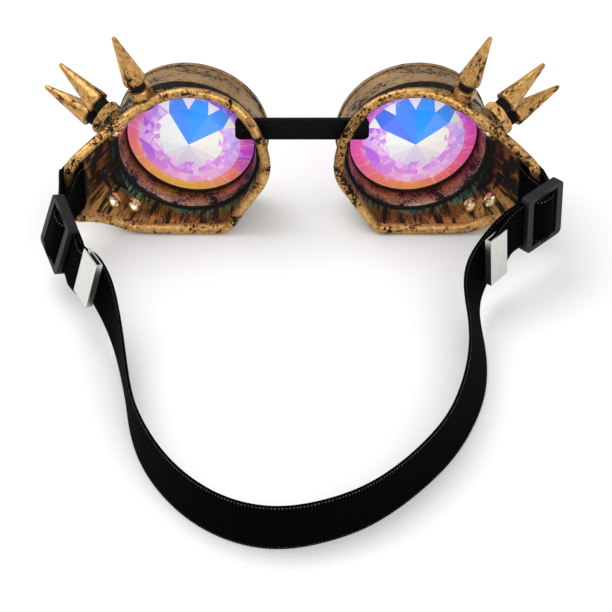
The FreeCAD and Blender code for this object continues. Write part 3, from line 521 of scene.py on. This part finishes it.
def strap_webbing(width):
    """Black elastic webbing: small cross ribs in rows, and a line of pale thread stitches beside each edge."""
    finish = bpy.context.scene.goggles_finish
    material, tree = new_material("strap_webbing")
    split = add_node(tree, "SeparateXYZ", {0: add_node(tree, "UVMap", uv_map="webbing")}).node.outputs
    # The real ribs are 0.6 mm apart, too fine to show, so they are drawn twice as coarse
    pitches = {"X": 1.2 * MM, "Y": 0.9 * MM}
    waves = []
    for axis, pitch in pitches.items():
        turns = add_node(tree, "Math", {0: split[axis], 1: 2 * math.pi / pitch}, operation="MULTIPLY")
        wave = add_node(tree, "Math", {0: turns}, operation="SINE")
        waves.append(add_node(tree, "MapRange", {"Value": wave, "From Min": -1.0}))
    ribs, rows = waves
    grid = add_node(tree, "Math", {0: ribs, 1: rows}, operation="MULTIPLY")
    off_middle = add_node(tree, "Math", {0: split["Y"], 1: width / 2}, operation="SUBTRACT")
    from_middle = add_node(tree, "Math", {0: off_middle}, operation="ABSOLUTE")
    off_line = add_node(tree, "Math", {0: from_middle, 1: width / 2 - 0.6 * MM}, operation="SUBTRACT")
    from_line = add_node(tree, "Math", {0: off_line}, operation="ABSOLUTE")
    line = add_node(tree, "MapRange", {"Value": from_line, "From Min": 0.26 * MM, "From Max": 0.14 * MM})
    stitch = add_node(tree, "MapRange", {"Value": ribs, "From Min": 0.45, "From Max": 0.65})
    dots = add_node(tree, "Math", {0: line, 1: stitch}, operation="MULTIPLY")
    place = add_node(tree, "TexCoord", output="Object")
    lint = add_node(tree, "TexNoise", {"Vector": place, "Scale": 1 / (2.5 * MM), "Detail": 6.0})
    wear = add_node(tree, "MapRange", {"Value": lint, "From Min": 0.3, "From Max": 0.6, "To Min": 0.1, "To Max": 0.6})
    shown = add_node(tree, "Math", {0: dots, 1: wear}, operation="MULTIPLY")
    cloth = add_node(tree, "Mix", {"Factor": grid, 6: linear("#020203"), 7: finish.webbing}, **COLOURS)
    relief = add_node(tree, "Math", {0: grid, 1: dots}, operation="ADD")
    shader = add_node(tree, "BsdfPrincipled", {
        "Base Color": add_node(tree, "Mix", {"Factor": shown, 6: cloth, 7: finish.thread}, **COLOURS),
        "Roughness": add_node(tree, "MapRange", {"Value": grid, "To Min": 0.95, "To Max": 0.8}),
        "Specular IOR Level": 0.02,
        "Normal": add_node(tree, "Bump", {"Height": relief, "Distance": 0.18 * MM}),
    })
    add_node(tree, "OutputMaterial", {"Surface": shader})
    return material


def strap_rows(node):
    """Four corners of each cross-section of a CAD strap, from one end to the other."""
    mesh = merged_copy(node)
    sharp = [edge for edge in mesh.edges if edge.is_manifold and edge.calc_face_angle() > WEBBING_CORNER]
    beside = {}
    for edge in sharp:
        for vertex in edge.verts:
            beside.setdefault(vertex, []).append(edge.other_vert(vertex))
    corners = [vertex for vertex, others in beside.items() if len(others) == 3]
    first = corners[0]
    nearest = min((other for other in corners if other is not first),
                  key=lambda other: (other.co - first.co).length)
    back = next(v for v in beside[first] if v is nearest)
    wide = next(v for v in beside[first] if v in corners and v is not back)
    across = next(v for v in beside[wide] if v in corners and v is not first)
    rails = []
    for start in (first, wide, across, back):
        rail = [start]
        step = next(v for v in beside[start] if v not in corners)
        while step not in corners:
            rail.append(step)
            step = next(v for v in beside[step] if v is not rail[-2])
        rails.append([v.co.copy() for v in rail + [step]])
    mesh.free()
    return list(zip(*rails))


def finer_rows(rows, steps):
    """Rows on smooth curves through the corners of the rows."""
    fine = []
    for i in range(len(rows) - 1):
        before, start, end, after = (rows[min(max(k, 0), len(rows) - 1)] for k in (i - 1, i, i + 1, i + 2))
        for step in range(steps):
            t = step / steps
            fine.append(tuple(
                p1 + ((p2 - p0) * t + (p0 * 2 - p1 * 5 + p2 * 4 - p3) * t ** 2
                      + (p1 * 3 - p0 - p2 * 3 + p3) * t ** 3) * 0.5
                for p0, p1, p2, p3 in zip(before, start, end, after)))
    return fine + [rows[-1]]


def row_middle(row):
    """Centre of a strap cross-section."""
    return sum(row, Vector()) / len(row)


def strap_width(rows):
    """Width of a strap at its first row."""
    return (rows[0][0] - rows[0][1]).length


def webbing_piece(name, rows, material):
    """Woven strap through rows of corners, thinner at its edges, with its weave's own map in metres."""
    settings = bpy.context.scene.goggles_strap
    made = bmesh.new()
    uv = made.loops.layers.uv.new("webbing")
    width = strap_width(rows)
    columns = settings.columns
    loops = []
    for row in rows:
        outer, inner = [], []
        for i in range(columns + 1):
            share = i / columns
            near = min(share, 1 - share) * width
            fullness = settings.edge_share + (1 - settings.edge_share) * min(1, near / settings.edge_width)
            top = row[0].lerp(row[1], share)
            under = row[3].lerp(row[2], share)
            middle = (top + under) / 2
            outer.append((made.verts.new(middle + (top - middle) * fullness), share * width))
            inner.append((made.verts.new(middle + (under - middle) * fullness), share * width))
        loops.append(outer + inner[::-1])
    places = [0.0]
    for before, after in zip(rows, rows[1:]):
        places.append(places[-1] + (row_middle(after) - row_middle(before)).length)
    count = len(loops[0])
    for i in range(len(loops) - 1):
        for k in range(count):
            j = (k + 1) % count
            corners = ((i, k), (i, j), (i + 1, j), (i + 1, k))
            face = made.faces.new([loops[a][b][0] for a, b in corners])
            for loop, (a, b) in zip(face.loops, corners):
                loop[uv].uv = (places[a], loops[a][b][1])
    for i in (0, len(loops) - 1):
        for k in range(columns):
            corners = (k, k + 1, count - 2 - k, count - 1 - k)
            face = made.faces.new([loops[i][b][0] for b in corners])
            for loop, b in zip(face.loops, corners):
                loop[uv].uv = (places[i], loops[i][b][1])
    bmesh.ops.recalc_face_normals(made, faces=made.faces)
    piece = new_piece(name, made)
    piece.data.materials.append(material)
    smooth(piece, WEBBING_SMOOTH)
    return piece


class GOGGLES_OT_back_strap(bpy.types.Operator):
    """Weave the back run of the head strap in two halves"""
    bl_idname = "goggles.back_strap"
    bl_label = "Back strap"

    def execute(self, context):
        settings = context.scene.goggles_strap
        rows = finer_rows(strap_rows("strap_band"), settings.fine_steps)
        if row_middle(rows[0]).x > row_middle(rows[-1]).x:
            rows = rows[::-1]
        material = strap_webbing(strap_width(rows))
        back = min(range(len(rows)), key=lambda i: abs(row_middle(rows[i]).x))
        halves = {"left": rows[:back + 1], "right": rows[back:]}
        for side, half in halves.items():
            piece = webbing_piece(side + "_back_strap", half, material)
            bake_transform(piece)
            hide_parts("strap_band")
        return {"FINISHED"}


class GOGGLES_OT_strap_ends(bpy.types.Operator):
    """Weave each strap end: round the temple bar, doubled through the buckle and out to its free tail"""
    bl_idname = "goggles.strap_ends"
    bl_label = "Strap ends"

    def execute(self, context):
        settings = context.scene.goggles_strap
        material = bpy.data.objects["left_back_strap"].data.materials[0]
        for side in SIDES:
            node = side + "_strap_end"
            rows = finer_rows(strap_rows(node), settings.fine_steps)
            run = Vector(JOINTS[side + "_buckle_slide"]["axis"])
            low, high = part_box(side + "_buckle")
            middle = (low + high) / 2
            clip = sum(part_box(side + "_end_clip"), Vector()) / 2
            if (row_middle(rows[0]) - clip).length > (row_middle(rows[-1]) - clip).length:
                rows = rows[::-1]
            along = [(row_middle(row) - middle).dot(run) for row in rows]
            first = next(i for i in range(len(rows)) if along[i] < 0)
            last = next(i for i in reversed(range(len(rows))) if along[i] < 0)
            buckle = frame["nodes"][side + "_buckle"].data
            half = max(abs((vertex.co - middle).dot(run)) for vertex in buckle.vertices)
            stretches = {
                "tail": (rows[:first + 1], max(along[:first + 1])),
                "loop": (rows[first:last + 1], min(along) / 2 - half / 2),
                "exit": (rows[last:], along[-1]),
            }
            for name, (stretch, cup_place) in stretches.items():
                piece = webbing_piece(side + "_strap_" + name, stretch, material)
                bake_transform(piece)
                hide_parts(node)
        return {"FINISHED"}


def reach(tree, face, direction):
    """Distance from just off a face to the next face of the mesh in a direction."""
    distance = tree.ray_cast(face.calc_center_median() + direction * SKIN, direction)[3]
    return math.inf if distance is None else distance


def cup_zone(side, face, tree):
    """Which finish of the eyecup a face has."""
    across, ahead, up = in_lens(side, face.calc_center_median())
    _, right, forward, above = lens_frame(side)
    radius = math.hypot(across, up)
    inside = (right * across + above * up).dot(face.normal) < 0
    thickness = reach(tree, face, -face.normal)
    if radius < BARREL_RADIUS and ahead > BARREL_AHEAD:
        return BORE
    if radius < GROOVE_RADIUS and ahead > BARREL_AHEAD and face.normal.dot(forward) < GROOVE_FACING:
        return PAINT
    if inside and thickness < POCKET_FLOOR or reach(tree, face, face.normal) < POCKET_WIDTH:
        return PAINT
    if thickness > BEAD_THICKNESS and (inside or ahead < NECK_AHEAD):
        return BEAD
    return INSIDE if inside else OUTSIDE


def edge_runs(edges):
    """Edges in lists of those that hang together."""
    waiting = list(edges)
    runs = []
    while waiting:
        run = [waiting.pop(0)]
        for edge in run:
            beside = [other for other in waiting if set(other.verts) & set(edge.verts)]
            run += beside
            waiting = [other for other in waiting if other not in beside]
        runs.append(run)
    return runs


def close_breaks(mesh):
    """Heal the eyecup's wall where the flat floor of a pocket comes out through its curve."""
    thin = [edge for edge in mesh.edges if edge.calc_face_angle() > BREAK_ANGLE]
    for run in edge_runs(thin):
        corners = {vertex for edge in run for vertex in edge.verts}
        if len(corners) == len(run) and sum(edge.calc_length() for edge in run) < BREAK_LENGTH:
            bmesh.ops.split_edges(mesh, edges=run)
    rims = [edge for edge in mesh.edges if edge.is_boundary]
    lids = bmesh.ops.holes_fill(mesh, edges=rims)["faces"]
    bmesh.ops.recalc_face_normals(mesh, faces=mesh.faces)
    for lid in lids:
        beside = {face.material_index for edge in lid.edges for face in edge.link_faces if face is not lid}
        lid.material_index = OUTSIDE if beside == {OUTSIDE} else PAINT
        if lid.material_index == PAINT:
            bmesh.ops.translate(mesh, verts=lid.verts, vec=lid.normal * BREAK_DEPTH)


class GOGGLES_OT_eyecups(bpy.types.Operator):
    """Finish the eyecups: gold bead, aged outside with painted neck shade, inside with painted sheen and teal light,
    barrel bore, black pockets
    """
    bl_idname = "goggles.eyecups"
    bl_label = "Eyecups"

    def execute(self, context):
        bead = aged_brass("cup_bead", speck=1.3 * MM, cover=0.84, shine=0.31)
        paint = black_rubber("pocket_paint")
        for side in SIDES:
            mesh = merged_copy(side + "_eyecup")
            bmesh.ops.recalc_face_normals(mesh, faces=mesh.faces)
            tree = BVHTree.FromBMesh(mesh)
            for face in mesh.faces:
                face.material_index = cup_zone(side, face, tree)
            close_breaks(mesh)
            piece = new_piece(side + "_cup_shell", mesh)
            for material in (cup_outside(side), bead, cup_inside(side), bore_brass(side), paint):
                piece.data.materials.append(material)
            smooth(piece, CUP_SMOOTH)
            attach(piece, side + "_cup")
            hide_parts(side + "_eyecup")
        return {"FINISHED"}


# Colours that the facets throw, by bearing round the lens from the right over the top
FAN = {"left": (30, 120), "right": (30, 150)}
FAN_STOPS = ((0, "#4A82F2"), (45, "#4B93F5"), (75, "#2E93FA"), (105, "#4186F2"), (135, "#4E74EA"), (360, "#4A82F2"))
PALE_STOPS = (
    (0, "#E9E6D8"), (90, "#DEDAEE"), (150, "#E4EAE6"), (180, "#DFE4E4"), (210, "#D8D5E0"), (270, "#CCC0D8"),
    (330, "#DBD5DA"), (360, "#E9E6D8"))
KITE_STOPS = (
    (0, "#C49BF0"), (90, "#F0ECFB"), (150, "#B45CE4"), (200, "#C070E6"), (250, "#EE9FD8"), (300, "#EFA8DC"),
    (360, "#C49BF0"))
RING_STOPS = {
    "left": (
        (0, "#D84FC0"), (40, "#7F5AE6"), (120, "#8A5CE8"), (150, "#E070C8"), (185, "#F5788A"), (225, "#FBAA62"),
        (262, "#F5BE4C"), (285, "#F9AE64"), (320, "#F5807A"), (340, "#C452D8"), (360, "#D84FC0")),
    "right": (
        (0, "#EE52BC"), (40, "#C862F0"), (120, "#B062EE"), (160, "#DE58CE"), (200, "#F266B0"), (235, "#F98874"),
        (270, "#FBA45E"), (310, "#F56C80"), (360, "#EE52BC")),
}


def colour_at(stops, bearing):
    """Colour between stops of (bearing, hex colour)."""
    for (start, first), (end, second) in zip(stops, stops[1:]):
        if start <= bearing <= end:
            share = (bearing - start) / (end - start)
            return Vector(linear(first)).lerp(Vector(linear(second)), share)
    raise ValueError("no stop holds bearing " + str(bearing))


def facet_colour(side, across, up):
    """Colour that a lens facet throws, by its ring and its bearing; clear alpha keeps the fan uncrinkled."""
    bearing = math.degrees(math.atan2(up, across)) % 360
    radius = math.hypot(across, up)
    in_fan = FAN[side][0] < bearing < FAN[side][1]
    between = abs((bearing + FACET_STEP / 2) % FACET_STEP - FACET_STEP / 2) < FACET_STEP / 6
    if in_fan and radius < KITE_RADIUS:
        pale = between and radius > FAN_RADIUS
        return colour_at(PALE_STOPS if pale else FAN_STOPS, bearing) * Vector((1, 1, 1, 0))
    if radius < FAN_RADIUS:
        return colour_at(PALE_STOPS, bearing)
    if radius < KITE_RADIUS:
        return colour_at(KITE_STOPS, bearing)
    return colour_at(RING_STOPS[side], bearing)


def facet_front(mesh, side):
    """Cut the lens's flat front into the rings of facets that show through it."""
    forward = lens_frame(side)[2]
    front = [face for face in mesh.faces if face.normal.dot(forward) > FRONT_FACING]
    bmesh.ops.delete(mesh, geom=front, context="FACES")
    rim = [edge for edge in mesh.edges if edge.is_boundary]
    corners = list(dict.fromkeys(vertex for edge in rim for vertex in edge.verts))
    middle = sum((vertex.co for vertex in corners), Vector()) / len(corners)
    hub = mesh.verts.new(middle)
    kites, fans = ({
        vertex: mesh.verts.new(middle + (vertex.co - middle).normalized() * radius) for vertex in corners
    } for radius in (KITE_RADIUS, FAN_RADIUS))
    for edge in rim:
        a, b = edge.verts
        mesh.faces.new((a, b, kites[b], kites[a]))
        mesh.faces.new((kites[a], kites[b], fans[b], fans[a]))
        mesh.faces.new((fans[a], fans[b], hub))
    bmesh.ops.recalc_face_normals(mesh, faces=mesh.faces)


class GOGGLES_OT_lenses(bpy.types.Operator):
    """Tint the facets of the kaleidoscope lenses with one colour each"""
    bl_idname = "goggles.lenses"
    bl_label = "Kaleidoscope lenses"

    def execute(self, context):
        for side in SIDES:
            mesh = merged_copy(side + "_lens")
            facet_front(mesh, side)
            layer = mesh.loops.layers.float_color.new("facet")
            for face in mesh.faces:
                across, _, up = in_lens(side, face.calc_center_median())
                colour = facet_colour(side, across, up)
                for loop in face.loops:
                    loop[layer] = colour
            piece = new_piece(side + "_kaleidoscope_lens", mesh)
            piece.data.materials.append(lens_glass(side))
            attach(piece, side + "_lens_carrier")
            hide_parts(side + "_lens")
        return {"FINISHED"}


class GOGGLES_OT_rings(bpy.types.Operator):
    """Finish the screwed front rings and the gaskets"""
    bl_idname = "goggles.rings"
    bl_label = "Front rings and gaskets"

    def execute(self, context):
        rubber = black_rubber("gasket_rubber")
        for side in SIDES:
            paint_node(side + "_lens_ring", ring_brass(side))
            paint_node(side + "_lens_gasket", rubber)
        return {"FINISHED"}


def spike_axis(node):
    """Base place and direction of a spike, from its own vertices."""
    points = [vertex.co for vertex in frame["nodes"][node].data.vertices]
    middle = sum(points, Vector()) / len(points)
    tip = max(points, key=lambda point: (point - middle).length)
    span = max((point - tip).length for point in points)
    foot = [point for point in points if (point - tip).length > span - SPIKE_FOOT]
    base = sum(foot, Vector()) / len(foot)
    return base, (tip - base).normalized()


class GOGGLES_OT_spikes(bpy.types.Operator):
    """Finish the spikes with gold cones and black necks, and their hexagonal seats"""
    bl_idname = "goggles.spikes"
    bl_label = "Spikes"

    def execute(self, context):
        seat = aged_brass("spike_seat_brass", speck=1.2 * MM, cover=0.84, shine=0.36)
        neck = black_rubber("spike_neck_paint")
        for side in SIDES:
            paint_node(side + "_spike_seats", seat)
            for place in ("upper", "middle", "lower"):
                node = side + "_spike_" + place
                base, direction = spike_axis(node)
                cone = aged_brass(node + "_brass", speck=1.0 * MM, cover=0.85, shine=0.31,
                                  along=direction, stretch=3.0)
                mesh = merged_copy(node)
                for face in mesh.faces:
                    offset = face.calc_center_median() - base
                    along = offset.dot(direction)
                    beside = (offset - direction * along).length
                    face.material_index = 1 if along < SPIKE_NECK and beside < SPIKE_NECK else 0
                piece = new_piece(node + "_stud", mesh)
                piece.data.materials.append(cone)
                piece.data.materials.append(neck)
                smooth(piece, SMALL_SMOOTH)
                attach(piece, side + "_cup")
                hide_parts(node)
        return {"FINISHED"}


class GOGGLES_OT_fasteners(bpy.types.Operator):
    """Finish the screws and rivets"""
    bl_idname = "goggles.fasteners"
    bl_label = "Screws and rivets"

    def execute(self, context):
        brass = polished_brass()
        for side in SIDES:
            paint_node(side + "_spike_screws", brass)
            paint_node(side + "_wing_rivets", brass)
        return {"FINISHED"}


class GOGGLES_OT_strip_and_buckles(bpy.types.Operator):
    """Finish the nose strip, the buckles and the end clips"""
    bl_idname = "goggles.strip_and_buckles"
    bl_label = "Nose strip, buckles and clips"

    def execute(self, context):
        vinyl = strip_vinyl()
        plastic = buckle_plastic()
        nickel = clip_nickel()
        for side in SIDES:
            self.half_strip(side, vinyl)
            paint_node(side + "_buckle", plastic)
            paint_node(side + "_end_clip", nickel)
        return {"FINISHED"}

    @staticmethod
    def half_strip(side, vinyl):
        """Half of the nose strip, cut across at several places before its slot."""
        slot = Vector(JOINTS[side + "_cup_swivel"]["pos_m"])
        mesh = merged_copy("nose_bridge")
        outwards = Vector((slot.x, 0, 0)).normalized()
        cut = bmesh.ops.bisect_plane(
            mesh, geom=mesh.verts[:] + mesh.edges[:] + mesh.faces[:], plane_co=(0, 0, 0), plane_no=-outwards,
            clear_outer=True)
        bmesh.ops.holes_fill(mesh, edges=[item for item in cut["geom_cut"] if isinstance(item, bmesh.types.BMEdge)])
        for share in STRIP_BEND_SHARES:
            bmesh.ops.bisect_plane(
                mesh, geom=mesh.verts[:] + mesh.edges[:] + mesh.faces[:], plane_co=outwards * abs(slot.x) * share,
                plane_no=outwards)
        piece = new_piece(side + "_nose_strip", mesh)
        piece.data.materials.append(vinyl)
        smooth(piece, SMALL_SMOOTH)
        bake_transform(piece)
        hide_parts("nose_bridge")


def area_light(name, place, aim, size, power):
    """Soft square light pointed at a place."""
    data = bpy.data.lights.new(name, "AREA")
    data.size = size
    data.energy = power
    lamp = bpy.data.objects.new(name, data)
    lamp.location = place
    lamp.rotation_euler = (Vector(aim) - Vector(place)).to_track_quat("-Z", "Y").to_euler()
    bpy.context.scene.collection.objects.link(lamp)


def floor_paper():
    """White backdrop paper: matt, with hardly any mottle."""
    material, tree = new_material("floor_paper")
    place = add_node(tree, "TexCoord", output="Object")
    mottle = add_node(tree, "TexNoise", {"Vector": place, "Scale": 1 / (400 * MM)})
    shader = add_node(tree, "BsdfPrincipled", {
        "Base Color": add_node(tree, "ValToRGB", {"Fac": mottle}, stops=((0.3, "#F6F6F6"), (0.7, "#FAFAFA"))),
        "Roughness": 0.9,
    })
    add_node(tree, "OutputMaterial", {"Surface": shader})
    return material


class GOGGLES_OT_stage(bpy.types.Operator):
    """Set the pale floor, the soft light and the camera"""
    bl_idname = "goggles.stage"
    bl_label = "Stage"

    def execute(self, context):
        settings = context.scene.goggles_stage
        bpy.ops.object.select_all(action="DESELECT")
        bpy.ops.mesh.primitive_plane_add(size=settings.floor_size, location=(0, 0, 0))
        floor = context.object
        floor.name = "floor"
        floor.data.materials.append(floor_paper())
        target = Vector(settings.target)
        back = Vector((0, -math.cos(settings.elevation), math.sin(settings.elevation)))
        data = bpy.data.cameras.new("camera")
        data.lens = settings.focal_length
        data.dof.use_dof = False
        camera = bpy.data.objects.new("camera", data)
        camera.location = target + back * settings.distance
        camera.rotation_euler = (-back).to_track_quat("-Z", "Y").to_euler()
        context.scene.collection.objects.link(camera)
        context.scene.camera = camera
        area_light("key", settings.key_place, target, settings.light_size, settings.key_power)
        area_light("fill", settings.fill_place, target, settings.light_size, settings.fill_power)
        world = bpy.data.worlds.new("studio")
        world.use_nodes = True
        background = world.node_tree.nodes["Background"]
        background.inputs["Color"].default_value = (1, 1, 1, 1)
        background.inputs["Strength"].default_value = settings.sky_strength
        context.scene.world = world
        context.scene.view_settings.view_transform = "Standard"
        return {"FINISHED"}


STEPS = (
    GOGGLES_OT_eyecups,
    GOGGLES_OT_rings,
    GOGGLES_OT_lenses,
    GOGGLES_OT_spikes,
    GOGGLES_OT_fasteners,
    GOGGLES_OT_back_strap,
    GOGGLES_OT_strap_ends,
    GOGGLES_OT_strip_and_buckles,
    GOGGLES_OT_stage,
)


class GOGGLES_PT_panel(bpy.types.Panel):
    """Lists the steps that dress the goggles"""
    bl_label = "Goggles"
    bl_idname = "GOGGLES_PT_panel"
    bl_space_type = "VIEW_3D"
    bl_region_type = "UI"
    bl_category = "Goggles"

    def draw(self, context):
        for step in STEPS:
            self.layout.operator(step.bl_idname)


GROUPS = {
    "goggles_finish": GogglesFinishSettings,
    "goggles_strap": GogglesStrapSettings,
    "goggles_stage": GogglesStageSettings,
}
CLASSES = tuple(GROUPS.values()) + STEPS + (GOGGLES_PT_panel,)


def register():
    """Add the classes and their settings to Blender."""
    for cls in CLASSES:
        bpy.utils.register_class(cls)
    for name, group in GROUPS.items():
        setattr(bpy.types.Scene, name, PointerProperty(type=group))


def unregister():
    """Take the settings and the classes out of Blender."""
    for name in GROUPS:
        delattr(bpy.types.Scene, name)
    for cls in reversed(CLASSES):
        bpy.utils.unregister_class(cls)


def main():
    """Run every step in order."""
    register()
    bpy.ops.goggles.eyecups()
    bpy.ops.goggles.rings()
    bpy.ops.goggles.lenses()
    bpy.ops.goggles.spikes()
    bpy.ops.goggles.fasteners()
    bpy.ops.goggles.back_strap()
    bpy.ops.goggles.strap_ends()
    bpy.ops.goggles.strip_and_buckles()
    bpy.ops.goggles.stage()


if __name__ == "__main__":
    main()
